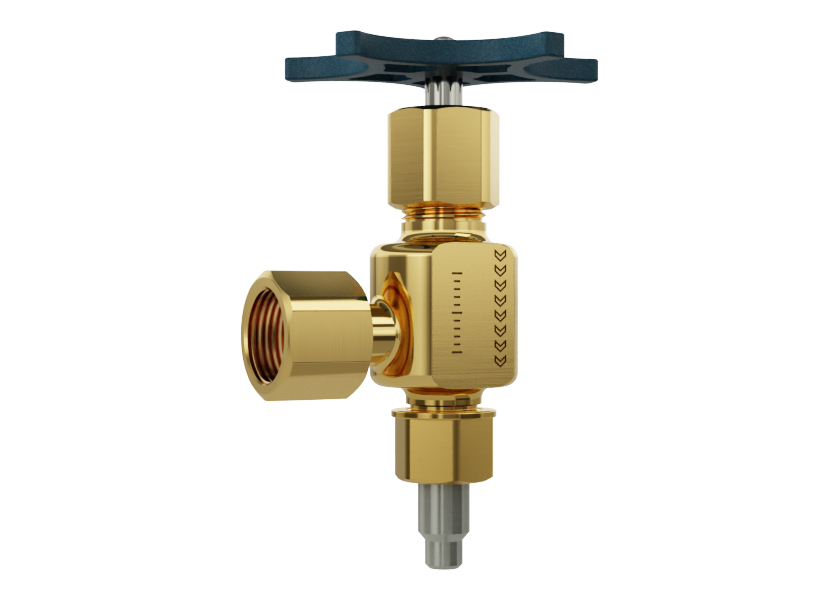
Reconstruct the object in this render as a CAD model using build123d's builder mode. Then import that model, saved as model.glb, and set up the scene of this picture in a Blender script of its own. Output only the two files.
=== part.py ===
"""An angle-pattern needle valve with a side gauge port, every piece in its own solid, in millimetres.

The spindle axis is Z. The side port points along -X, and one of the body's two flats faces -Y.
The origin is on the spindle axis at the lower end of the pipe nipple.
The valve stands half open, with the packing nut and the pipe union nut tight.
"""

from build123d import *
from math import atan, cos, radians, tan
import os

# Clearances
running_gap = 0.05
seal_gap = 0.02
end_play = 0.05
loose_gap = 0.2

# Levels along the spindle axis, from the pipe end upwards
nipple_shoulder = 5.9
union_nut_bottom = 18.4
nipple_collar_bottom = 22.0
nipple_collar_top = 25.0
spigot_bottom = 26.5
union_nut_top = 33.3
body_bottom = 38.1
seat_insert_bottom = 34.0
spigot_thread_relief_top = 34.5
seat_top = 41.0
branch_height = 49.1
stem_guide_bottom = 53.6
body_top = 68.0
packing_floor = 69.5
neck_collar_top = 72.4
packing_nut_bottom = 75.3
neck_top = 88.0
packing_nut_top = 96.0
wheel_bottom = 103.3
wheel_top = 108.2
stem_tip = 111.6

# Distances from the spindle axis along the side port
branch_counterbore = 19.0
branch_nozzle_back = 19.6
branch_nut_back = 22.7
branch_tube_end = 27.0
branch_flange_end = 29.9
branch_gasket_end = 31.3
branch_nut_front = 41.2

# Valve body
body_radius = 15.6
body_edge_rounding = 3.0
half_across_flats = 12.2
flat_edge_rounding = 0.25
spigot_radius = 8.0
spigot_flare = 2.5
neck_radius = 9.0
neck_flare = 2.6
branch_tube_radius = 6.5
branch_fillet = 1.6
chamber_radius = 4.5
passage_radius = 3.0
nozzle_socket_radius = 4.5
seat_pocket_radius = 5.0
seat_hole_radius = 2.6
stuffing_box_radius = 6.6

# Threads. A cut thread is a true helix, and a hidden mating thread is a plain running fit.
thread_pitch = 1.5
male_thread_depth = 0.9
male_groove_mouth = 1.35
male_groove_root = 0.3
neck_thread_start = 72.95
neck_thread_phase = -106
port_thread_radius = 9.19
port_thread_depth = 0.7
port_groove_mouth = 1.0
port_groove_root = 0.2
port_thread_phase = 20
thread_relief = 0.3

# Nuts: distance across the flats, radius of the turned corners, and radius of the flat end face
pipe_nut_size = (19, 10.6, 9.0)
pipe_nut_corner_angle = 14.5
packing_nut_size = (22, 12.0, 10.2)
packing_nut_corner_angle = -13.2
branch_nut_size = (24, 13.05, 11.6)

# Stem and needle
stem_radius = 4.0
stem_thread_radius = 6.0
stem_thread_bottom = 56.6
stem_thread_top = 66.6
stem_square = 5.6
stud_radius = 2.5
stud_dome_radius = 4.0
needle_lift_at_rest = 2.5
needle_radius = 3.2
needle_shank_radius = 1.9
needle_shank_top = 54.0
needle_shoulder = 50.3
stem_bore_radius = 2.0
stem_bore_top = 57.3
thrust_ball_radius = 1.6
orifice_radius = 1.5
retaining_ring_height = 52.3
retaining_ring_radius = 1.85
retaining_wire_radius = 0.32
ring_groove_half_width = 0.4

# Packing
packing_ring_count = 4
packing_ring_height = 3.0
packing_washer_height = 1.5
gland_flange_bottom = 89.0
gland_flange_top = 91.95

# Handwheel
wheel_radius = 35.0
lobe_count = 5
first_lobe_angle = -9.1
scallop_radius = 19.1
scallop_centre = 36.7
lobe_tip_rounding = 1.3
rim_width = 3.4
lobe_wall = 5.0
spoke_width = 3.8
hub_radius = 8.0
window_rounding = 1.2
wheel_edge_rounding = 0.5
hub_recess_radius = 5.6
hub_recess_depth = 1.5
wheel_washer_height = 1.0
wheel_nut_height = 2.7
wheel_nut_across_flats = 8.0
wheel_nut_corner_angle = 20

spindle = Plane.XY
branch = Plane(origin=(0, 0, branch_height), x_dir=(0, 0, 1), z_dir=(-1, 0, 0))
front_flat = Plane(origin=(0, -half_across_flats, 0), x_dir=(1, 0, 0), z_dir=(0, -1, 0))
slope_30 = tan(radians(30))


def section_of(axis_plane):
    """The plane through an axis, with radius along its x and height along the axis as its y."""
    return Plane(origin=axis_plane.origin, x_dir=axis_plane.x_dir, z_dir=-axis_plane.y_dir)


def turn(outline, axis_plane=spindle, roundings=(), mode=Mode.ADD):
    """Turns an outline of (radius, height) points about the axis; roundings are (corner, radius) pairs."""
    with BuildSketch(section_of(axis_plane)) as section:
        with BuildLine():
            Polyline(*outline, close=True)
        make_face()
        for corner, rounding in roundings:
            fillet(section.vertices().sort_by_distance(corner)[0], rounding)
    revolve(section.sketch, axis=Axis(axis_plane.origin, axis_plane.z_dir), mode=mode)


def ring(inner, outer, bottom, top, axis_plane=spindle):
    """A plain ring between two radii and two heights."""
    turn([(inner, bottom), (outer, bottom), (outer, top), (inner, top)], axis_plane)


def bore(radius, bottom, top, axis_plane=spindle):
    """A plain round hole between two heights on an axis."""
    with BuildSketch(axis_plane.offset(bottom)) as opening:
        Circle(radius)
    extrude(opening.sketch, amount=top - bottom, mode=Mode.SUBTRACT)


def countersink(radius, mouth, depth, axis_plane=spindle):
    """A 45 degree mouth for a hole; a positive depth opens upwards and a negative one downwards."""
    mouth_radius = radius + abs(depth)
    turn(
        [(0, mouth), (mouth_radius, mouth), (radius, mouth - depth), (0, mouth - depth)],
        axis_plane,
        mode=Mode.SUBTRACT,
    )


def hexagon(size, bottom, top, axis_plane=spindle, corner_angle=0.0):
    """A hexagon whose corners are turned round, with a 30 degree cone at each end."""
    across_flats, turned_radius, face_radius = size
    cone = (turned_radius - face_radius) * slope_30
    with BuildSketch(axis_plane.offset(bottom)) as flats:
        RegularPolygon(across_flats / 2, 6, major_radius=False, rotation=corner_angle)
    extrude(flats.sketch, amount=top - bottom)
    turn(
        [
            (0, bottom),
            (face_radius, bottom),
            (turned_radius, bottom + cone),
            (turned_radius, top - cone),
            (face_radius, top),
            (0, top),
        ],
        axis_plane,
        mode=Mode.INTERSECT,
    )


def thread_groove(radius, start, length, depth, mouth, root):
    """The space between the turns of a right-hand thread: a helical groove of the given depth.

    The groove is as wide as its mouth at the stated radius and as wide as its root at its bottom.
    A positive depth goes towards the axis, for a male thread, and a negative one away from it.
    """
    clear = 0.15 if depth > 0 else -0.15
    flare = (mouth - root) / 2 * abs(clear / depth)
    with BuildPart() as groove:
        with BuildLine() as path:
            Helix(pitch=thread_pitch, height=length, radius=radius, center=(0, 0, start))
        with BuildSketch(Plane(origin=path.line @ 0, x_dir=(1, 0, 0), z_dir=path.line % 0)):
            with BuildLine():
                Polyline(
                    (clear, -mouth / 2 - flare),
                    (clear, mouth / 2 + flare),
                    (-depth, root / 2),
                    (-depth, -root / 2),
                    close=True,
                )
            make_face()
        sweep(path=path.line, is_frenet=True)
    return groove.part


def male_groove(radius, start, end):
    """The groove of a male thread between two heights on the spindle axis."""
    return thread_groove(radius, start, end - start, male_thread_depth, male_groove_mouth, male_groove_root)


def save(builder, name):
    """Names a finished piece and writes it to its own STEP file."""
    builder.part.label = name
    export_step(builder.part, f"parts/{name}.step")


os.makedirs("parts", exist_ok=True)


# Pipe end ---------------------------------------------------------------------------------------

with BuildPart() as pipe_nipple:
    nipple_radius = 5.5
    pipe_spigot_radius = 4.0
    nipple_bore_radius = 2.0
    nipple_collar_radius = 7.2
    end_chamfer = 0.9
    shoulder_cone = 1.8
    turn(
        [
            (nipple_bore_radius, 0),
            (pipe_spigot_radius - end_chamfer, 0),
            (pipe_spigot_radius, end_chamfer),
            (pipe_spigot_radius, nipple_shoulder),
            (nipple_radius, nipple_shoulder + shoulder_cone),
            (nipple_radius, nipple_collar_bottom),
            (nipple_collar_radius, nipple_collar_bottom),
            (nipple_collar_radius, nipple_collar_top),
            (nipple_bore_radius, nipple_collar_top),
        ]
    )
save(pipe_nipple, "pipe_nipple")

with BuildPart() as pipe_gasket:
    gasket_inner_radius = 2.6
    ring(gasket_inner_radius, nipple_collar_radius - 0.1, nipple_collar_top, spigot_bottom)
save(pipe_gasket, "pipe_gasket")

with BuildPart() as pipe_union_nut:
    union_collar_radius = 11.1
    union_collar_bottom = union_nut_top - 1.6
    union_collar_rounding = 0.35
    union_bore = spigot_radius + running_gap
    hexagon(pipe_nut_size, union_nut_bottom, union_nut_top + 2, corner_angle=pipe_nut_corner_angle)
    with BuildSketch(Plane.XY.offset(union_collar_bottom)):
        Circle(union_collar_radius + 2)
    extrude(amount=10, mode=Mode.SUBTRACT)
    turn(
        [
            (0, union_collar_bottom),
            (union_collar_radius, union_collar_bottom),
            (union_collar_radius, union_nut_top),
            (0, union_nut_top),
        ],
        roundings=[
            ((union_collar_radius, union_collar_bottom), union_collar_rounding),
            ((union_collar_radius, union_nut_top), union_collar_rounding),
        ],
    )
    bore(nipple_radius + loose_gap, union_nut_bottom - 1, union_nut_top)
    bore(union_bore, nipple_collar_bottom - end_play, union_nut_top + 1)
    countersink(union_bore, union_nut_top, 0.5)
save(pipe_union_nut, "pipe_union_nut")


# Valve body -------------------------------------------------------------------------------------

neck_groove = male_groove(neck_radius, neck_thread_start, neck_top + thread_pitch)
spigot_groove = male_groove(spigot_radius, spigot_bottom - thread_pitch, union_nut_top - 0.3)


def body_outside():
    """The forging's turned outside, with its neck above, its spigot below and its side tube."""
    relief = spigot_radius - male_thread_depth
    neck_relief = neck_radius - male_thread_depth
    end_chamfer = 0.7
    turn(
        [
            (0, spigot_bottom),
            (spigot_radius - end_chamfer, spigot_bottom),
            (spigot_radius, spigot_bottom + end_chamfer),
            (spigot_radius, union_nut_top - 0.3),
            (relief, union_nut_top + 0.1),
            (relief, spigot_thread_relief_top - 0.3),
            (spigot_radius, spigot_thread_relief_top),
            (spigot_radius, body_bottom),
            (body_radius, body_bottom),
            (body_radius, body_top),
            (neck_radius, body_top),
            (neck_radius, neck_collar_top),
            (neck_relief, neck_collar_top),
            (neck_relief, neck_collar_top + 0.5),
            (neck_radius, neck_collar_top + 0.8),
            (neck_radius, neck_top - end_chamfer),
            (neck_radius - end_chamfer, neck_top),
            (0, neck_top),
        ],
        roundings=[
            ((spigot_radius, body_bottom), spigot_flare),
            ((body_radius, body_bottom), body_edge_rounding),
            ((body_radius, body_top), body_edge_rounding),
            ((neck_radius, body_top), neck_flare),
        ],
    )


def chevron(column, bottom, half_width, thickness, inset):
    """The corners of a chevron that points down, drawn smaller all round by the inset."""
    slope = 0.85
    across = half_width - inset
    low = bottom + inset / cos(atan(slope))
    high = bottom + thickness - inset / cos(atan(slope))
    return [
        (column, low),
        (column + across, low + slope * across),
        (column + across, high + slope * across),
        (column, high),
        (column - across, high + slope * across),
        (column - across, low + slope * across),
    ]


def engraved_marks():
    """A column of generic flow chevrons pointing down, and a column of index strokes, in the front flat."""
    depth = 0.2
    line = 0.32
    chevron_count = 8
    chevron_column = 6.4
    chevron_bottom = 42.3
    chevron_pitch = 3.1
    chevron_half_width = 1.4
    chevron_thickness = 1.5
    stroke_count = 11
    stroke_column = -3.9
    stroke_bottom = 45.6
    stroke_pitch = 1.6
    stroke_width = 0.4
    long_stroke = 2.5
    short_stroke = 1.5
    with BuildSketch(front_flat.offset(-depth)) as marks:
        for index in range(chevron_count):
            level = chevron_bottom + index * chevron_pitch
            for inset, mode in ((0, Mode.ADD), (line, Mode.SUBTRACT)):
                with BuildLine():
                    Polyline(
                        *chevron(chevron_column, level, chevron_half_width, chevron_thickness, inset),
                        close=True,
                    )
                make_face(mode=mode)
        for index in range(stroke_count):
            length = long_stroke if index % 5 == 0 else short_stroke
            with Locations((stroke_column, stroke_bottom + index * stroke_pitch)):
                SlotOverall(length, stroke_width)
    extrude(marks.sketch, amount=2 * depth, mode=Mode.SUBTRACT)


with BuildPart() as valve_body:
    body_outside()
    for side in (-1, 1):
        with BuildSketch(Plane.XY.offset(spigot_bottom)):
            with Locations((0, side * (half_across_flats + body_radius / 2))):
                Rectangle(2 * body_radius, body_radius)
        extrude(amount=neck_top - spigot_bottom, mode=Mode.SUBTRACT)
    flat_edges = valve_body.faces().filter_by(Axis.Y).edges()
    fillet(flat_edges, flat_edge_rounding)
    with BuildSketch(branch):
        Circle(branch_tube_radius)
    extrude(amount=branch_tube_end)
    root = valve_body.edges().filter_by(GeomType.BSPLINE).sort_by_distance((-body_radius, 0, branch_height))
    fillet(root[0], branch_fillet)
    bore(seat_pocket_radius, spigot_bottom - 1, seat_top)
    bore(chamber_radius, seat_top - 0.5, stem_guide_bottom)
    bore(stem_thread_radius, stem_guide_bottom, packing_floor)
    bore(stuffing_box_radius, packing_floor, neck_top + 1)
    countersink(stuffing_box_radius, neck_top, 0.6)
    bore(passage_radius, 0, branch_tube_end, branch)
    bore(nozzle_socket_radius, branch_counterbore, branch_tube_end + 1, branch)
    engraved_marks()
    add(neck_groove, rotation=(0, 0, neck_thread_phase), mode=Mode.SUBTRACT)
    add(spigot_groove, mode=Mode.SUBTRACT)
save(valve_body, "valve_body")

with BuildPart() as seat_insert:
    seat_outer_radius = seat_pocket_radius - seal_gap
    seat_chamfer = 0.4
    seat_drop = (seat_hole_radius - orifice_radius) / slope_30
    orifice_bottom = 36.5
    turn(
        [
            (seat_hole_radius, seat_insert_bottom),
            (seat_outer_radius - seat_chamfer, seat_insert_bottom),
            (seat_outer_radius, seat_insert_bottom + seat_chamfer),
            (seat_outer_radius, seat_top),
            (seat_hole_radius, seat_top),
            (orifice_radius, seat_top - seat_drop),
            (orifice_radius, orifice_bottom),
            (seat_hole_radius, orifice_bottom - (seat_hole_radius - orifice_radius) * slope_30),
        ]
    )
save(seat_insert, "seat_insert")


# Side port --------------------------------------------------------------------------------------

with BuildPart() as branch_nozzle:
    nozzle_radius = nozzle_socket_radius - seal_gap
    nozzle_chamfer = 0.4
    flange_radius = 8.6
    turn(
        [
            (passage_radius, branch_nozzle_back),
            (nozzle_radius - nozzle_chamfer, branch_nozzle_back),
            (nozzle_radius, branch_nozzle_back + nozzle_chamfer),
            (nozzle_radius, branch_tube_end),
            (flange_radius, branch_tube_end),
            (flange_radius, branch_flange_end),
            (passage_radius, branch_flange_end),
        ],
        branch,
    )
save(branch_nozzle, "branch_nozzle")

with BuildPart() as branch_gasket:
    ring(passage_radius + 0.2, flange_radius - 0.1, branch_flange_end, branch_gasket_end, branch)
save(branch_gasket, "branch_gasket")

port_land_start = branch_gasket_end + 0.3
port_relief_start = port_land_start + 0.6
port_relief_end = port_relief_start + 0.8
port_groove_start = port_relief_end - 0.6
port_groove_end = branch_nut_front + 1
port_groove = thread_groove(
    port_thread_radius,
    port_groove_start,
    port_groove_end - port_groove_start,
    -port_thread_depth,
    port_groove_mouth,
    port_groove_root,
)

with BuildPart() as branch_union_nut:
    nut_web_end = branch_tube_end - end_play
    port_relief_radius = port_thread_radius + port_thread_depth + thread_relief
    hexagon(branch_nut_size, branch_nut_back, branch_nut_front, branch)
    with Locations(branch):
        add(port_groove, rotation=(0, 0, port_thread_phase), mode=Mode.SUBTRACT)
    bore(branch_tube_radius + running_gap, branch_nut_back - 1, branch_nut_front, branch)
    bore(port_thread_radius, nut_web_end, branch_nut_front + 1, branch)
    bore(port_relief_radius, nut_web_end, port_land_start, branch)
    bore(port_relief_radius, port_relief_start, port_relief_end, branch)
    countersink(port_thread_radius, branch_nut_front, 0.7, branch)
save(branch_union_nut, "branch_union_nut")


# Needle and stem --------------------------------------------------------------------------------

with BuildPart() as needle_tip:
    cone_gap = 0.04
    nose_radius = 1.0
    groove_floor_radius = needle_shank_radius - 0.42
    shank_chamfer = 0.3
    cone_foot = seat_top - seat_drop + needle_lift_at_rest
    nose_level = cone_foot - (orifice_radius - nose_radius) / slope_30
    turn(
        [
            (0, nose_level),
            (nose_radius - cone_gap, nose_level),
            (needle_radius - cone_gap, cone_foot + (needle_radius - orifice_radius) / slope_30),
            (needle_radius - cone_gap, needle_shoulder),
            (needle_shank_radius, needle_shoulder),
            (needle_shank_radius, retaining_ring_height - ring_groove_half_width),
            (groove_floor_radius, retaining_ring_height - ring_groove_half_width),
            (groove_floor_radius, retaining_ring_height + ring_groove_half_width),
            (needle_shank_radius, retaining_ring_height + ring_groove_half_width),
            (needle_shank_radius, needle_shank_top - shank_chamfer),
            (needle_shank_radius - shank_chamfer, needle_shank_top),
            (0, needle_shank_top),
        ]
    )
save(needle_tip, "needle_tip")

with BuildPart() as tip_retaining_ring:
    ring_gap_angle = 50
    with BuildSketch(Plane.XZ):
        with Locations((retaining_ring_radius, retaining_ring_height)):
            Circle(retaining_wire_radius)
    revolve(axis=Axis.Z, revolution_arc=360 - ring_gap_angle)
save(tip_retaining_ring, "tip_retaining_ring")

with BuildPart() as thrust_ball:
    with Locations((0, 0, needle_shank_top + seal_gap + thrust_ball_radius)):
        Sphere(thrust_ball_radius)
save(thrust_ball, "thrust_ball")

with BuildPart() as stem:
    stem_bottom = needle_shoulder + 0.1
    guide_radius = 3.9
    guide_chamfer = 0.3
    thread_radius = stem_thread_radius - running_gap
    thread_chamfer = 0.8
    square_top = wheel_top - hub_recess_depth - loose_gap
    dome_foot = stem_tip - stud_dome_radius + (stud_dome_radius**2 - stud_radius**2) ** 0.5
    ring_groove_radius = retaining_ring_radius + retaining_wire_radius + 0.1
    turn(
        [
            (0, stem_bottom),
            (guide_radius - guide_chamfer, stem_bottom),
            (guide_radius, stem_bottom + guide_chamfer),
            (guide_radius, stem_thread_bottom),
            (thread_radius - thread_chamfer, stem_thread_bottom),
            (thread_radius, stem_thread_bottom + thread_chamfer),
            (thread_radius, stem_thread_top - thread_chamfer),
            (thread_radius - thread_chamfer, stem_thread_top),
            (stem_radius, stem_thread_top),
            (stem_radius, wheel_bottom),
            (stud_radius, wheel_bottom),
            (stud_radius, dome_foot),
            (0, dome_foot),
        ]
    )
    with BuildSketch(Plane.XY.offset(wheel_bottom)):
        Rectangle(stem_square, stem_square)
    extrude(amount=square_top - wheel_bottom)
    with BuildSketch(Plane.XZ):
        with BuildLine():
            Line((0, stem_tip), (0, dome_foot))
            Line((0, dome_foot), (stud_radius, dome_foot))
            RadiusArc((stud_radius, dome_foot), (0, stem_tip), -stud_dome_radius)
        make_face()
    revolve(axis=Axis.Z)
    bore(stem_bore_radius, needle_shoulder, stem_bore_top)
    turn(
        [
            (0, retaining_ring_height - ring_groove_half_width),
            (ring_groove_radius, retaining_ring_height - ring_groove_half_width),
            (ring_groove_radius, retaining_ring_height + ring_groove_half_width),
            (0, retaining_ring_height + ring_groove_half_width),
        ],
        mode=Mode.SUBTRACT,
    )
save(stem, "stem")


# Packing and gland ------------------------------------------------------------------------------

packing_bottom = packing_floor + packing_washer_height

with BuildPart() as packing_washer:
    ring(stem_radius + 2 * running_gap, stuffing_box_radius - running_gap, packing_floor, packing_bottom)
save(packing_washer, "packing_washer")

for number in range(packing_ring_count):
    level = packing_bottom + number * packing_ring_height
    with BuildPart() as packing_ring:
        ring(stem_radius + seal_gap, stuffing_box_radius - seal_gap, level, level + packing_ring_height)
    save(packing_ring, f"packing_ring_{number + 1}")

packing_top = packing_bottom + packing_ring_count * packing_ring_height

with BuildPart() as gland_follower:
    gland_bore = stem_radius + 2 * running_gap
    gland_sleeve = stuffing_box_radius - seal_gap - running_gap
    gland_sleeve_bottom = packing_top + end_play
    gland_chamfer = 0.3
    gland_flange = neck_radius - 0.4
    turn(
        [
            (gland_bore, gland_sleeve_bottom),
            (gland_sleeve - gland_chamfer, gland_sleeve_bottom),
            (gland_sleeve, gland_sleeve_bottom + gland_chamfer),
            (gland_sleeve, gland_flange_bottom),
            (gland_flange, gland_flange_bottom),
            (gland_flange, gland_flange_top),
            (gland_bore, gland_flange_top),
        ]
    )
save(gland_follower, "gland_follower")

with BuildPart() as packing_nut:
    nut_bore = neck_radius + running_gap
    stem_hole = stem_radius + loose_gap
    hexagon(packing_nut_size, packing_nut_bottom, packing_nut_top, corner_angle=packing_nut_corner_angle)
    bore(nut_bore, packing_nut_bottom - 1, gland_flange_top + end_play)
    bore(stem_hole, packing_nut_bottom, packing_nut_top + 1)
    countersink(stem_hole, packing_nut_top, 0.5)
    countersink(nut_bore, packing_nut_bottom, -0.6)
save(packing_nut, "packing_nut")


# Handwheel --------------------------------------------------------------------------------------


def scallop_centres():
    """The places between the lobes where the rim is hollowed."""
    half_pitch = 180 / lobe_count
    return PolarLocations(scallop_centre, lobe_count, start_angle=first_lobe_angle + half_pitch)


with BuildPart() as handwheel:
    spoke_angle = first_lobe_angle + 180 / lobe_count
    square_hole = stem_square + 2 * running_gap
    with BuildSketch(Plane.XY.offset(wheel_bottom)) as planform:
        Circle(wheel_radius)
        with scallop_centres():
            Circle(scallop_radius, mode=Mode.SUBTRACT)
        fillet(planform.vertices(), lobe_tip_rounding)
    extrude(amount=wheel_top - wheel_bottom)
    fillet(handwheel.faces().filter_by(Axis.Z).edges(), wheel_edge_rounding)
    with BuildSketch(Plane.XY.offset(wheel_bottom)) as windows:
        Circle(wheel_radius - lobe_wall)
        with scallop_centres():
            Circle(scallop_radius + rim_width, mode=Mode.SUBTRACT)
        Circle(hub_radius, mode=Mode.SUBTRACT)
        with PolarLocations(hub_radius, lobe_count, start_angle=spoke_angle):
            Rectangle(2 * hub_radius, spoke_width, mode=Mode.SUBTRACT)
        fillet(windows.vertices(), window_rounding)
    extrude(amount=wheel_top - wheel_bottom, mode=Mode.SUBTRACT)
    bore(hub_recess_radius, wheel_top - hub_recess_depth, wheel_top + 1)
    with BuildSketch(Plane.XY.offset(wheel_bottom)):
        Rectangle(square_hole, square_hole)
    extrude(amount=wheel_top - wheel_bottom, mode=Mode.SUBTRACT)
save(handwheel, "handwheel")

washer_bottom = wheel_top - hub_recess_depth
washer_top = washer_bottom + wheel_washer_height

with BuildPart() as handwheel_washer:
    washer_inner = stud_radius + 2 * running_gap
    washer_outer = hub_recess_radius - 0.4
    washer_chamfer = 0.2
    turn(
        [
            (washer_inner, washer_bottom),
            (washer_outer - washer_chamfer, washer_bottom),
            (washer_outer, washer_bottom + washer_chamfer),
            (washer_outer, washer_top - washer_chamfer),
            (washer_outer - washer_chamfer, washer_top),
            (washer_inner, washer_top),
        ]
    )
save(handwheel_washer, "handwheel_washer")

with BuildPart() as handwheel_nut:
    half_flats = wheel_nut_across_flats / 2
    wheel_nut_top = washer_top + wheel_nut_height
    hexagon(
        (wheel_nut_across_flats, half_flats / cos(radians(30)), half_flats - 0.1),
        washer_top,
        wheel_nut_top,
        corner_angle=wheel_nut_corner_angle,
    )
    bore(stud_radius + running_gap, washer_top - 1, wheel_nut_top + 1)
save(handwheel_nut, "handwheel_nut")
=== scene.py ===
"""Looks for the needle valve: brass, steel, powder coat and a plain studio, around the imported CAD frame."""

import bpy
import math
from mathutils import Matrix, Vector


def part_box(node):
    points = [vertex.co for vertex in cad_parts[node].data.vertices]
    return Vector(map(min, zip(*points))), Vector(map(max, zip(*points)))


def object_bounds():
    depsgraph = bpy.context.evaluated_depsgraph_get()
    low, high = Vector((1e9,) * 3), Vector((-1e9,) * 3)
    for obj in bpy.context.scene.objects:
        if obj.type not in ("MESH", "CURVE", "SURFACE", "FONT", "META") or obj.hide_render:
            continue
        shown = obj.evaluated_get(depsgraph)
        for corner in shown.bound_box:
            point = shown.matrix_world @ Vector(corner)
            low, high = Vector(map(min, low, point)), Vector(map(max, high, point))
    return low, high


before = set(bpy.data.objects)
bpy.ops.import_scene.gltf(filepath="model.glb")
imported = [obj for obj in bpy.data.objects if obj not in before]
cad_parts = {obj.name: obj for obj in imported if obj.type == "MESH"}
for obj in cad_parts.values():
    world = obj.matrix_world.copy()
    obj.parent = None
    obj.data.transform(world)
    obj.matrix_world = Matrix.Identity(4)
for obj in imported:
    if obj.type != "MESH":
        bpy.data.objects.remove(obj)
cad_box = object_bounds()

X, Y, Z = 0, 1, 2

# Camera -----------------------------------------------------------------------------------------

CAMERA_AZIMUTH = math.radians(-29)
CAMERA_DISTANCE = 0.357
CAMERA_HEIGHT = 0.0562
CAMERA_SIDE_STEP = 0.005
FOCAL_LENGTH = 72.86
SENSOR_WIDTH = 36
NEAREST_SEEN = 0.01


def add_camera():
    """A level camera that faces the flat and the side port, a little to the left of the spindle."""
    to_camera = Vector((math.sin(CAMERA_AZIMUTH), -math.cos(CAMERA_AZIMUTH), 0))
    to_right = Vector((math.cos(CAMERA_AZIMUTH), math.sin(CAMERA_AZIMUTH), 0))
    data = bpy.data.cameras.new("camera")
    data.sensor_width = SENSOR_WIDTH
    data.lens = FOCAL_LENGTH
    data.clip_start = NEAREST_SEEN
    camera = bpy.data.objects.new("camera", data)
    camera.location = to_camera * CAMERA_DISTANCE - to_right * CAMERA_SIDE_STEP
    camera.location.z = CAMERA_HEIGHT
    camera.rotation_euler = (math.radians(90), 0, CAMERA_AZIMUTH)
    bpy.context.scene.collection.objects.link(camera)
    bpy.context.scene.camera = camera


# Node graphs ------------------------------------------------------------------------------------


class Graph:
    """Short names for the nodes of one material or world."""

    def __init__(self, tree):
        self.tree = tree
        tree.nodes.clear()

    def node(self, kind, **settings):
        """A new node with the given settings."""
        made = self.tree.nodes.new(kind)
        for key, value in settings.items():
            setattr(made, key, value)
        return made

    def plug(self, socket, value):
        """Links another node's output to a socket, or sets a constant on it."""
        if isinstance(value, bpy.types.NodeSocket):
            self.tree.links.new(value, socket)
        elif value is not None:
            socket.default_value = value

    def math(self, operation, first, second=None, third=None):
        """One arithmetic step."""
        made = self.node("ShaderNodeMath", operation=operation)
        for socket, value in zip(made.inputs, (first, second, third)):
            self.plug(socket, value)
        return made.outputs[0]

    def times(self, *values):
        """The product of several values."""
        product = values[0]
        for value in values[1:]:
            product = self.math("MULTIPLY", product, value)
        return product

    def mix(self, share, first, second, blend_type="MIX"):
        """A colour between two, or one blended onto the other."""
        made = self.node("ShaderNodeMix", data_type="RGBA", blend_type=blend_type)
        self.plug(made.inputs["Factor"], share)
        self.plug(made.inputs[6], first)
        self.plug(made.inputs[7], second)
        return made.outputs[2]

    def between(self, share, first, second):
        """A number between two."""
        made = self.node("ShaderNodeMix", data_type="FLOAT")
        self.plug(made.inputs["Factor"], share)
        self.plug(made.inputs[2], first)
        self.plug(made.inputs[3], second)
        return made.outputs[0]

    def ramp(self, position, stops):
        """A colour that follows a list of (position, colour) stops."""
        made = self.node("ShaderNodeValToRGB")
        elements = made.color_ramp.elements
        elements.remove(elements[-1])
        elements[0].position = stops[0][0]
        elements[0].color = (*stops[0][1], 1)
        for place, colour in stops[1:]:
            elements.new(place).color = (*colour, 1)
        self.plug(made.inputs[0], position)
        return made.outputs[0]

    def step(self, value, low, high):
        """A smooth change from 0 at low to 1 at high; with low above high it falls instead of rising."""
        made = self.node("ShaderNodeMapRange", interpolation_type="SMOOTHSTEP")
        self.plug(made.inputs["Value"], value)
        self.plug(made.inputs["From Min"], low)
        self.plug(made.inputs["From Max"], high)
        return made.outputs[0]

    def inside(self, value, low, high, edge):
        """1 between low and high and 0 outside them."""
        rise = self.step(value, low - edge, low)
        fall = self.step(value, high + edge, high)
        return self.math("MULTIPLY", rise, fall)

    def noise(self, vector, scale, detail=2.0, roughness=0.5):
        """A soft random value about 0.5."""
        made = self.node("ShaderNodeTexNoise")
        self.plug(made.inputs["Vector"], vector)
        self.plug(made.inputs["Scale"], scale)
        self.plug(made.inputs["Detail"], detail)
        self.plug(made.inputs["Roughness"], roughness)
        return made.outputs[0]

    def stretched(self, vector, scales):
        """Coordinates multiplied axis by axis."""
        made = self.node("ShaderNodeVectorMath", operation="MULTIPLY")
        self.plug(made.inputs[0], vector)
        self.plug(made.inputs[1], scales)
        return made.outputs[0]

    def grey(self, level):
        """A grey of one level."""
        made = self.node("ShaderNodeCombineColor")
        for socket in made.inputs:
            self.plug(socket, level)
        return made.outputs[0]

    def split(self, vector):
        """The three parts of a vector."""
        made = self.node("ShaderNodeSeparateXYZ")
        self.plug(made.inputs[0], vector)
        return made.outputs

    def bump(self, height, strength, distance, normal=None):
        """A shading normal that follows a height."""
        made = self.node("ShaderNodeBump")
        made.inputs["Strength"].default_value = strength
        made.inputs["Distance"].default_value = distance
        self.plug(made.inputs["Height"], height)
        self.plug(made.inputs["Normal"], normal)
        return made.outputs[0]

    def principled(self, colour, metallic, roughness, normal=None):
        """The surface shader, connected to the material's output."""
        shader = self.node("ShaderNodeBsdfPrincipled")
        self.plug(shader.inputs["Base Color"], colour)
        shader.inputs["Metallic"].default_value = metallic
        self.plug(shader.inputs["Roughness"], roughness)
        self.plug(shader.inputs["Normal"], normal)
        self.plug(self.node("ShaderNodeOutputMaterial").inputs["Surface"], shader.outputs[0])
        return shader


def new_material(name):
    """An empty material and its graph."""
    material = bpy.data.materials.new(name)
    material.use_nodes = True
    return material, Graph(material.node_tree)


# Studio -----------------------------------------------------------------------------------------

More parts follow.
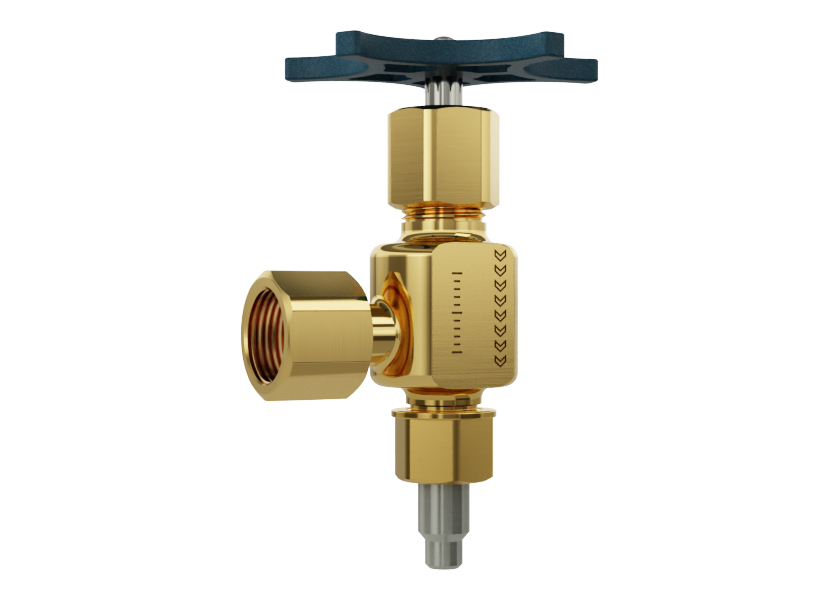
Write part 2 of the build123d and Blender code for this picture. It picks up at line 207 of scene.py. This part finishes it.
# Brightness of the studio's walls against the angle to the right of the camera, in degrees:
# soft boxes with dark gaps between them.
WALL_LEVELS = [
    (-180, 0.50),
    (-148, 0.38),
    (-138, 0.30),
    (-133, 0.17),
    (-128, 0.42),
    (-118, 0.45),
    (-110, 0.42),
    (-98, 0.34),
    (-93, 0.17),
    (-72, 0.155),
    (-62, 0.17),
    (-56, 0.55),
    (-36, 0.70),
    (-28, 0.46),
    (-24, 0.19),
    (-19, 0.18),
    (-14, 0.26),
    (-10, 0.66),
    (-5, 0.58),
    (-1, 0.26),
    (24, 0.23),
    (29, 0.18),
    (34, 0.32),
    (45, 0.54),
    (62, 0.54),
    (72, 0.32),
    (82, 0.47),
    (102, 0.36),
    (138, 0.36),
    (150, 0.56),
    (172, 0.56),
]

# From straight down to straight up, against the sine of the elevation: the share of the wall's
# brightness, then the brightness of the ground or the ceiling.
ALL_ROUND = [
    (-1.00, 0.00, 0.25),
    (-0.17, 0.00, 0.24),
    (-0.15, 0.50, 0.00),
    (0.00, 0.52, 0.00),
    (0.04, 0.76, 0.00),
    (0.08, 1.00, 0.00),
    (0.20, 1.00, 0.10),
    (0.28, 0.00, 0.50),
    (0.43, 0.00, 0.50),
    (0.47, 0.00, 0.10),
    (0.66, 0.00, 0.12),
    (0.71, 0.00, 0.24),
    (0.79, 0.00, 0.24),
    (0.83, 0.00, 0.10),
    (1.00, 0.00, 0.08),
]

# The same on the key light's side, where a lamp hangs over the wall and the ground is in shade.
KEY_SIDE = [
    (-1.00, 0.00, 0.17),
    (-0.36, 0.00, 0.16),
    (-0.28, 0.00, 0.06),
    (-0.07, 0.00, 0.06),
    (-0.04, 0.46, 0.00),
    (0.00, 0.52, 0.00),
    (0.04, 0.76, 0.00),
    (0.08, 1.00, 0.00),
    (0.20, 1.00, 0.10),
    (0.28, 0.00, 0.50),
    (0.40, 0.00, 0.46),
    (0.43, 0.00, 0.08),
    (0.55, 0.00, 0.08),
    (0.58, 0.00, 0.75),
    (0.79, 0.00, 0.75),
    (0.83, 0.00, 0.08),
    (1.00, 0.00, 0.08),
]

# The key light's side, in degrees to the right of the camera, with a soft edge.
KEY_AZIMUTHS = (38, 84)
KEY_EDGE = 5

STUDIO_STRENGTH = 2.0
FLOOR_RADIUS = 8.0
FLOOR_GAP = 0.0002
FLOOR_GREY = (0.80, 0.80, 0.80, 1)
FLOOR_GLOW = 0.85
SUN_SPREAD = math.radians(70)
SUN_ENERGY = 1.9
SUN_DIRECTION = Vector((-1.05, 0.18, 0.70))
WHITE = (1, 1, 1, 1)

# The camera's response: light against the picture's brightness, with a soft toe and shoulder.
RESPONSE_MIDDLE = 0.51
RESPONSE_WHITE = 2.4
RESPONSE_SAMPLES = (0.0, 0.05, 0.10, 0.18, 0.28, 0.40, 0.55, 0.75, 1.0, 1.4, 1.9, 2.4)


def turn_share(angle):
    """Where an angle to the right of the camera falls on a full turn that starts behind it."""
    return (angle + 180) / 360


def add_world():
    """White behind the object, and a softly lit studio for its reflections."""
    world = bpy.data.worlds.new("studio")
    world.use_nodes = True
    bpy.context.scene.world = world
    g = Graph(world.node_tree)
    direction = g.split(g.node("ShaderNodeTexCoord").outputs["Generated"])
    height = g.math("MULTIPLY_ADD", direction[Z], 0.5, 0.5)
    facing = g.math("ARCTAN2", direction[X], g.math("MULTIPLY", direction[Y], -1.0))
    angle = g.math("SUBTRACT", facing, CAMERA_AZIMUTH)
    share = g.math("FRACT", g.math("ADD", g.math("DIVIDE", angle, 2 * math.pi), 0.5))
    walls = g.ramp(share, [(turn_share(place), (level, level, level)) for place, level in WALL_LEVELS])
    low, high = (turn_share(place) for place in KEY_AZIMUTHS)
    key = g.inside(share, low, high, KEY_EDGE / 360)
    around, by_key = (
        g.ramp(height, [((place + 1) / 2, (wall, other, 0)) for place, wall, other in levels])
        for levels in (ALL_ROUND, KEY_SIDE)
    )
    shares = g.node("ShaderNodeSeparateColor")
    g.plug(shares.inputs[0], g.mix(key, around, by_key))
    wall_light = g.times(shares.outputs[0], walls)
    reflected = g.node("ShaderNodeBackground")
    g.plug(reflected.inputs["Color"], g.math("ADD", wall_light, shares.outputs[1]))
    reflected.inputs["Strength"].default_value = STUDIO_STRENGTH
    plain = g.node("ShaderNodeBackground")
    plain.inputs["Color"].default_value = WHITE
    plain.inputs["Strength"].default_value = RESPONSE_WHITE
    chosen = g.node("ShaderNodeMixShader")
    g.plug(chosen.inputs[0], g.node("ShaderNodeLightPath").outputs["Is Camera Ray"])
    g.plug(chosen.inputs[1], reflected.outputs[0])
    g.plug(chosen.inputs[2], plain.outputs[0])
    g.plug(g.node("ShaderNodeOutputWorld").inputs["Surface"], chosen.outputs[0])


def add_floor():
    """A wide pale floor at the height of the object's lowest point."""
    level = cad_box[0][Z] - FLOOR_GAP
    place = (0, 0, level)
    bpy.ops.mesh.primitive_circle_add(vertices=96, radius=FLOOR_RADIUS, fill_type="NGON", location=place)
    floor = bpy.context.object
    floor.name = "floor"
    floor.visible_glossy = False
    floor.visible_diffuse = False
    material, g = new_material("floor")
    shader = g.principled(FLOOR_GREY, 0.0, 0.9)
    shader.inputs["Specular IOR Level"].default_value = 0.0
    shader.inputs["Emission Color"].default_value = WHITE
    shader.inputs["Emission Strength"].default_value = FLOOR_GLOW * RESPONSE_WHITE
    floor.data.materials.append(material)


def add_soft_sun():
    """A soft light from the camera's left and above."""
    data = bpy.data.lights.new("soft_sun", "SUN")
    data.angle = SUN_SPREAD
    data.energy = SUN_ENERGY
    sun = bpy.data.objects.new("soft_sun", data)
    sun.rotation_euler = SUN_DIRECTION.to_track_quat("Z", "Y").to_euler()
    sun.visible_glossy = False
    bpy.context.scene.collection.objects.link(sun)


def response(light):
    """The picture's brightness, from 0 to 1, for one amount of light."""
    shown = light**2 / (light**2 + RESPONSE_MIDDLE**2)
    white = RESPONSE_WHITE**2 / (RESPONSE_WHITE**2 + RESPONSE_MIDDLE**2)
    return shown / white


def set_camera_response():
    """Contrast in the shades and a gentle roll-off in the lights, on each colour alike."""
    view = bpy.context.scene.view_settings
    view.view_transform = "Standard"
    view.use_curve_mapping = True
    mapping = view.curve_mapping
    mapping.white_level = (RESPONSE_WHITE, RESPONSE_WHITE, RESPONSE_WHITE)
    mapping.extend = "HORIZONTAL"
    combined = mapping.curves[3]
    first, last = combined.points[0], combined.points[-1]
    first.location = (0.0, 0.0)
    last.location = (1.0, 1.0)
    for light in RESPONSE_SAMPLES[1:-1]:
        combined.points.new(light / RESPONSE_WHITE, response(light))
    mapping.update()


# Brass ------------------------------------------------------------------------------------------

BRASS = (0.88, 0.68, 0.335, 1)
# A deeper brass: the lower union nut's own tone, and painted shade under the body.
DEEP_BRASS_AND_SHADE = (0.79, 0.59, 0.26, 1)
# Painted highlight on the side port's thread crests.
CREST_HIGHLIGHT_BRASS = (0.92, 0.74, 0.50, 1)
# Painted shade in the side port's thread grooves.
GROOVE_SHADE_BRASS = (0.60, 0.29, 0.10, 1)
# Painted shade in the roots of the neck's thread.
THREAD_ROOT_SHADE_BRASS = (0.77, 0.51, 0.19, 1)
ENGRAVING_COLOUR = (0.30, 0.20, 0.09, 1)

# Roughness of each finish.
POLISHED = 0.05
SATIN = 0.25
BORE = 0.22
ENGRAVED = 0.55

# Noise scales along and across the brush lines, for long lines and for short ones.
LONG_LINES = (26.0, 3600.0)
SHORT_LINES = (90.0, 7000.0)
BRUSH_DEPTH = 0.00002
BRUSH_STRENGTH = 0.05
CLOUD_SCALE = 260.0
CLOUD_SHARE = 0.03


def middle(node, axis):
    """The middle of a node along one axis."""
    low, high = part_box(node)
    return (low[axis] + high[axis]) / 2


# The body: its flats, the engraved area of the front flat, the threaded neck and the lower edge.
FLAT_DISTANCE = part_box("valve_body")[1][Y]
FLAT_MIDDLE_HEIGHT = 0.0535
FLAT_CURVE = 0.5
ENGRAVED_WIDTH = (-0.0062, 0.0084)
ENGRAVED_HEIGHT = (0.0415, 0.0670)
ENGRAVED_DEPTHS = (0.00005, 0.0003)
NECK_RADIUS = 0.0090
NECK_THREAD_HEIGHT = (0.0729, 0.0880)
BODY_BOTTOM = 0.0381

# The side nut's port.
PORT_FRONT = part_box("branch_union_nut")[0][X]
PORT_HEIGHT = middle("branch_union_nut", Z)
PORT_THREAD_CREST = 0.0092
PORT_THREAD_ROOT = 0.0101
PORT_COUNTERSINK = 0.0007

# Widths over which one finish, or one painted shade, changes to the next.
FINE_EDGE = 0.00005
EDGE = 0.0001
SOFT_EDGE = 0.0002
GROOVE_EDGE = 0.0004


def brush_lines(g, place, fine_axis):
    """A value about 0.5 that varies along one axis and hardly across it, as brush lines do."""
    lines = []
    for along, across in (LONG_LINES, SHORT_LINES):
        scales = [along, along, along]
        scales[fine_axis] = across
        lines.append(g.noise(g.stretched(place, scales), 1.0))
    return g.between(0.5, *lines)


def brass(name, satin_share, fine_axis, brush, crown, metal=BRASS, finish=None):
    """Brass that is brushed satin where satin_share is 1 and polished where it is 0.

    The brush lines run across fine_axis, and the satin faces swell by the height that crown gives, as
    hand-finished faces do. The finish then changes the colour and the roughness where it needs to; on the
    body and the side port it also paints shade and highlights into the colour.
    """
    material, g = new_material(name)
    place = g.node("ShaderNodeTexCoord").outputs["Object"]
    share = satin_share(g, place)
    streaks = brush_lines(g, place, fine_axis)
    about_zero = g.math("SUBTRACT", streaks, 0.5)
    cloud = g.math("SUBTRACT", g.noise(place, CLOUD_SCALE, 3.0), 0.5)
    shade = g.math("MULTIPLY_ADD", about_zero, g.times(share, brush), 1.0)
    shade = g.math("MULTIPLY_ADD", cloud, CLOUD_SHARE, shade)
    colour = g.mix(1.0, metal, g.grey(shade), "MULTIPLY")
    roughness = g.between(share, POLISHED, g.math("MULTIPLY_ADD", about_zero, brush, SATIN))
    if finish is not None:
        colour, roughness = finish(g, place, colour, roughness)
    swollen = g.bump(g.times(crown(g, place), share), 1.0, 1.0)
    scratched = g.bump(g.times(streaks, share), BRUSH_STRENGTH, BRUSH_DEPTH, swollen)
    g.principled(colour, 1.0, roughness, scratched)
    return material


def object_normal(g):
    """The parts of the surface's normal along the object's axes."""
    return g.split(g.node("ShaderNodeTexCoord").outputs["Normal"])


def body_flats(g, place):
    """1 on the body's two milled flats."""
    away = g.math("ABSOLUTE", g.split(place)[Y])
    square_on = g.math("ABSOLUTE", object_normal(g)[Y])
    at_flat = g.step(away, FLAT_DISTANCE - 0.00035, FLAT_DISTANCE - 0.00025)
    return g.times(g.step(square_on, 0.990, 0.998), at_flat)


def body_engraving(g, place):
    """1 inside the marks engraved in the front flat."""
    x, y, z = g.split(place)
    sunk = g.inside(y, *(depth - FLAT_DISTANCE for depth in ENGRAVED_DEPTHS), FINE_EDGE)
    return g.times(sunk, g.inside(x, *ENGRAVED_WIDTH, EDGE), g.inside(z, *ENGRAVED_HEIGHT, EDGE))


def body_marks_and_painted_shade(g, place, colour, roughness):
    """Dark engraved marks, and painted shade in the roots of the neck's thread and under the body."""
    radius = off_axis(g, place, Z)
    height = g.split(place)[Z]
    in_neck = g.inside(height, *NECK_THREAD_HEIGHT, SOFT_EDGE)
    # Painted shade in the roots of the neck's thread.
    root_shade = g.times(in_neck, g.step(radius, NECK_RADIUS - 0.0001, NECK_RADIUS - 0.0007))
    # Painted shade under the body's lower edge, on the neck beneath it.
    shade_under_body = g.step(height, BODY_BOTTOM + 0.0002, BODY_BOTTOM - 0.0004)
    colour = g.mix(shade_under_body, colour, DEEP_BRASS_AND_SHADE)
    colour = g.mix(root_shade, colour, THREAD_ROOT_SHADE_BRASS)
    marks = body_engraving(g, place)
    return g.mix(marks, colour, ENGRAVING_COLOUR), g.between(marks, roughness, ENGRAVED)


def off_axis(g, place, along):
    """Distance from the spindle's axis, or from the side port's axis when that runs along X."""
    x, y, z = g.split(place)
    if along == Z:
        return g.math("SQRT", g.math("ADD", g.times(x, x), g.times(y, y)))
    rise = g.math("SUBTRACT", z, PORT_HEIGHT)
    return g.math("SQRT", g.math("ADD", g.times(rise, rise), g.times(y, y)))


def nut_flats(turned_radius, along):
    """1 on a nut's flats and ends, 0 on its turned corners."""

    def share(g, place):
        within = g.step(off_axis(g, place, along), turned_radius - 0.00002, turned_radius - 0.00008)
        return within if along == Z else g.times(within, g.math("SUBTRACT", 1.0, port_bore(g, place)))

    return share


def crowned_faces(node, curve, along):
    """The swelling of a nut's faces, which is highest at each face's middle."""

    def swelling(g, place):
        radius = off_axis(g, place, along)
        away = g.math("SUBTRACT", g.split(place)[along], middle(node, along))
        beside_axis = g.step(g.math("ABSOLUTE", object_normal(g)[along]), 0.3, 0.1)
        return g.times(g.math("ADD", g.times(radius, radius), g.times(away, away)), beside_axis, -curve)

    return swelling


def crowned_flats(g, place):
    """The swelling of the body's flats about their middle."""
    x, y, z = g.split(place)
    away = g.math("SUBTRACT", z, FLAT_MIDDLE_HEIGHT)
    return g.times(g.math("ADD", g.times(x, x), g.times(away, away)), -FLAT_CURVE)


def port_bore(g, place):
    """1 inside the side nut's port, beyond its countersink."""
    radius = off_axis(g, place, X)
    start = PORT_FRONT + PORT_COUNTERSINK
    past_countersink = g.step(g.split(place)[X], start - EDGE, start)
    return g.times(g.step(radius, PORT_THREAD_ROOT + SOFT_EDGE, PORT_THREAD_ROOT), past_countersink)


def port_painted_shade_and_highlights(g, place, colour, roughness):
    """A dull port with a painted highlight on its thread crests and painted shade in its thread grooves."""
    in_port = port_bore(g, place)
    # Painted shade in the port thread's grooves and a painted highlight on its crests.
    in_shaded_groove = g.step(off_axis(g, place, X), PORT_THREAD_CREST, PORT_THREAD_CREST + GROOVE_EDGE)
    colour = g.mix(in_port, colour, g.mix(in_shaded_groove, CREST_HIGHLIGHT_BRASS, GROOVE_SHADE_BRASS))
    return colour, g.between(in_port, roughness, BORE)


def dress_nut(node, turned_radius, brush, curve, along=Z, **options):
    """Satin flats and polished turned corners on a hexagon nut, with its axis along X or Z."""
    flats = nut_flats(turned_radius, along)
    crown = crowned_faces(node, curve, along)
    dress(brass(f"{node}_brass", flats, along, brush, crown, **options), node)


# Steel, paint and plastic -----------------------------------------------------------------------

LATHE_WANDER = 150.0
LATHE_SHADE = 0.93
LATHE_ROUGHNESS_RANGE = 0.12
LATHE_DEPTH = 0.00001
BRIGHT_STEEL = (0.53, 0.525, 0.48, 1)
SATIN_STEEL = (0.59, 0.595, 0.535, 1)
PLATED_STEEL = (0.62, 0.62, 0.60, 1)

PAINT_DARK = (0.020, 0.072, 0.101, 1)
PAINT_LIGHT = (0.040, 0.126, 0.166, 1)
PAINT_ROUGHNESS = 0.36
PAINT_GLOSS = 0.95
PEBBLE_SCALE = 1700.0
PEBBLE_DEPTH = 0.00015
GRAIN_SCALE = 3600.0

PLASTIC_DARK = (0.80, 0.80, 0.77, 1)
PLASTIC_LIGHT = (0.88, 0.88, 0.85, 1)
PLASTIC_ROUGHNESS = 0.45
PLASTIC_CLOUD_SCALE = 400.0


def turned_metal(name, colour, roughness, lathe_scale, metallic=1.0):
    """Turned or ground metal with faint rings round the spindle."""
    material, g = new_material(name)
    place = g.node("ShaderNodeTexCoord").outputs["Object"]
    rings = g.noise(g.stretched(place, (LATHE_WANDER, LATHE_WANDER, lathe_scale)), 1.0, 3.0)
    varied = g.math("MULTIPLY_ADD", g.math("SUBTRACT", rings, 0.5), LATHE_ROUGHNESS_RANGE, roughness)
    darker = (*(LATHE_SHADE * part for part in colour[:3]), 1)
    tone = g.mix(rings, darker, colour)
    g.principled(tone, metallic, varied, g.bump(rings, 0.15, LATHE_DEPTH))
    return material


def powder_coat():
    """Dark teal powder coat with a fine pebbled surface."""
    material, g = new_material("powder_coat")
    place = g.node("ShaderNodeTexCoord").outputs["Object"]
    pebbles = g.noise(place, PEBBLE_SCALE, 2.0, 0.6)
    grain = g.noise(place, GRAIN_SCALE, 1.0)
    colour = g.mix(g.step(grain, 0.35, 0.75), PAINT_DARK, PAINT_LIGHT)
    height = g.between(0.35, pebbles, grain)
    shader = g.principled(colour, 0.0, PAINT_ROUGHNESS, g.bump(height, 0.80, PEBBLE_DEPTH))
    shader.inputs["Specular IOR Level"].default_value = PAINT_GLOSS
    return material


def ptfe():
    """White sealing plastic."""
    material, g = new_material("ptfe")
    place = g.node("ShaderNodeTexCoord").outputs["Object"]
    colour = g.mix(g.noise(place, PLASTIC_CLOUD_SCALE), PLASTIC_DARK, PLASTIC_LIGHT)
    g.principled(colour, 0.0, PLASTIC_ROUGHNESS)
    return material


# Dress the CAD nodes ----------------------------------------------------------------------------


def dress(material, *nodes):
    """Gives every material slot of the named CAD nodes one material."""
    for node in nodes:
        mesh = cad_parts[node].data
        mesh.materials.clear()
        mesh.materials.append(material)


add_camera()
add_world()
add_floor()
add_soft_sun()
set_camera_response()

dress(brass("body_brass", body_flats, Z, 0.24, crowned_flats, finish=body_marks_and_painted_shade), "valve_body")
dress_nut("packing_nut", turned_radius=0.0120, brush=0.16, curve=1.4)
dress_nut("pipe_union_nut", turned_radius=0.0106, brush=0.12, curve=1.2, metal=DEEP_BRASS_AND_SHADE)
dress_nut("branch_union_nut", turned_radius=0.01305, brush=0.14, curve=1.1, along=X, finish=port_painted_shade_and_highlights)
dress(turned_metal("turned_brass", BRASS, 0.13, 900.0), "branch_nozzle", "packing_washer", "gland_follower")
dress(turned_metal("ground_steel", BRIGHT_STEEL, 0.07, 900.0), "stem", "needle_tip")
dress(turned_metal("satin_steel", SATIN_STEEL, 0.12, 2500.0, metallic=0.65), "pipe_nipple")
dress(
    turned_metal("plated_steel", PLATED_STEEL, 0.22, 1500.0),
    "seat_insert",
    "tip_retaining_ring",
    "thrust_ball",
    "handwheel_washer",
    "handwheel_nut",
)
dress(powder_coat(), "handwheel")
dress(ptfe(), "pipe_gasket", "branch_gasket", *(f"packing_ring_{number}" for number in range(1, 5)))
